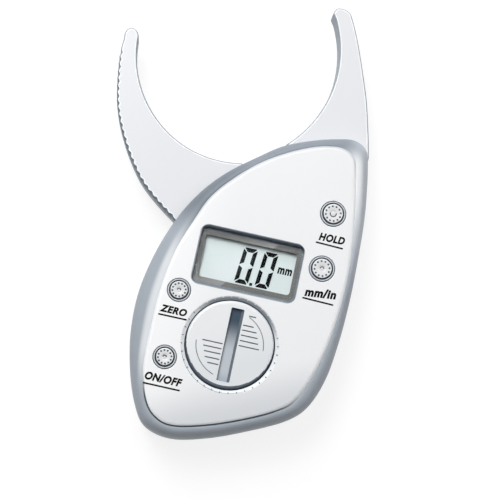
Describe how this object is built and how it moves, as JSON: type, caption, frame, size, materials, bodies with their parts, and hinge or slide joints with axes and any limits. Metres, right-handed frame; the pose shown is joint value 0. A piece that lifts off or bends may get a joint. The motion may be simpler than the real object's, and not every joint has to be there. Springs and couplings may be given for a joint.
{
  "type": "skinfold caliper",
  "caption": "Handheld digital skinfold caliper: a fixed and a sprung swinging jaw, a display, push buttons and a coin-slot battery door.",
  "frame": {"origin": "axis of the jaw pivot where it meets the flat back that the caliper lies on", "axes": "+X along the display, +Y towards the jaws, +Z out of the face"},
  "size_m": [0.0996, 0.1654, 0.0223],
  "materials": {
    "rim_grey": "satin blue-grey metallic paint on ABS",
    "satin_silver": "satin silver-white paint on ABS",
    "jaw_white": "satin silver-white moulded ABS",
    "steel": "turned steel",
    "nylon": "natural nylon",
    "spring_wire": "spring steel wire",
    "circuit_board": "glass-epoxy board with green solder mask",
    "chip_black": "moulded epoxy",
    "crystal_can": "plated can",
    "display_lens": "clear acrylic with a printed taupe border",
    "display_glass": "reflective liquid crystal glass",
    "conductive_rubber": "striped conductive silicone",
    "cell_can": "nickel-plated steel",
    "contact_metal": "nickel-plated spring steel",
    "brass": "sintered bronze bush",
    "encoder_copper": "copper-clad disc",
    "door_silver": "satin silver ABS",
    "seal_rubber": "black nitrile",
    "switch_metal": "stamped steel cover",
    "plunger_black": "moulded plunger",
    "button_silver": "satin silver ABS",
    "screw_steel": "zinc-plated steel"
  },
  "bodies": {
    "casing": {"rear_cover": "rim_grey", "front_housing": "rim_grey", "face_plate": "satin_silver", "fixed_jaw": "jaw_white", "pivot_pin": "steel", "thrust_washer": "nylon", "retaining_ring": "steel", "torsion_spring": "spring_wire", "main_board": "circuit_board", "controller_chip": "chip_black", "clock_crystal": "crystal_can", "display_lens": "display_lens", "display_glass": "display_glass", "contact_strip_upper": "conductive_rubber", "contact_strip_lower": "conductive_rubber", "hold_switch": "switch_metal", "unit_switch": "switch_metal", "zero_switch": "switch_metal", "power_switch": "switch_metal", "battery_cell": "cell_can", "battery_contact_negative": "contact_metal", "battery_contact_positive": "contact_metal", "case_screw_1": "screw_steel", "case_screw_2": "screw_steel", "case_screw_3": "screw_steel", "case_screw_4": "screw_steel", "case_screw_5": "screw_steel", "case_screw_6": "screw_steel", "board_screw_1": "screw_steel", "board_screw_2": "screw_steel", "board_screw_3": "screw_steel"},
    "jaw": {"moving_jaw": "jaw_white", "pivot_bush": "brass", "encoder_rotor": "encoder_copper"},
    "door": {"battery_door": "door_silver", "door_seal": "seal_rubber"},
    "button_hold": {"hold_button": "button_silver", "hold_plunger": "plunger_black"},
    "button_unit": {"unit_button": "button_silver", "unit_plunger": "plunger_black"},
    "button_zero": {"zero_button": "button_silver", "zero_plunger": "plunger_black"},
    "button_power": {"power_button": "button_silver", "power_plunger": "plunger_black"}
  },
  "joints": [
    {"name": "jaw_pivot", "type": "hinge", "parent": "casing", "child": "jaw", "pos_m": [0, 0, 0.0101], "axis": [0, 0, -1], "range_deg": [0, 55.8], "stiffness_Nm_per_rad": 0.03, "springref_deg": -28.65, "deforming": ["torsion_spring"]},
    {"name": "door_turn", "type": "hinge", "parent": "casing", "child": "door", "pos_m": [-0.00022, -0.05304, 0.0203], "axis": [0, 0, 1], "range_deg": [0, 50]},
    {"name": "hold_press", "type": "slide", "parent": "casing", "child": "button_hold", "axis": [0, 0, -1], "range_m": [0, 0.0004], "stiffness_N_per_m": 600, "springref_m": -0.0004},
    {"name": "unit_press", "type": "slide", "parent": "casing", "child": "button_unit", "axis": [0, 0, -1], "range_m": [0, 0.0004], "stiffness_N_per_m": 600, "springref_m": -0.0004},
    {"name": "zero_press", "type": "slide", "parent": "casing", "child": "button_zero", "axis": [0, 0, -1], "range_m": [0, 0.0004], "stiffness_N_per_m": 600, "springref_m": -0.0004},
    {"name": "power_press", "type": "slide", "parent": "casing", "child": "button_power", "axis": [0, 0, -1], "range_m": [0, 0.0004], "stiffness_N_per_m": 600, "springref_m": -0.0004}
  ]
}
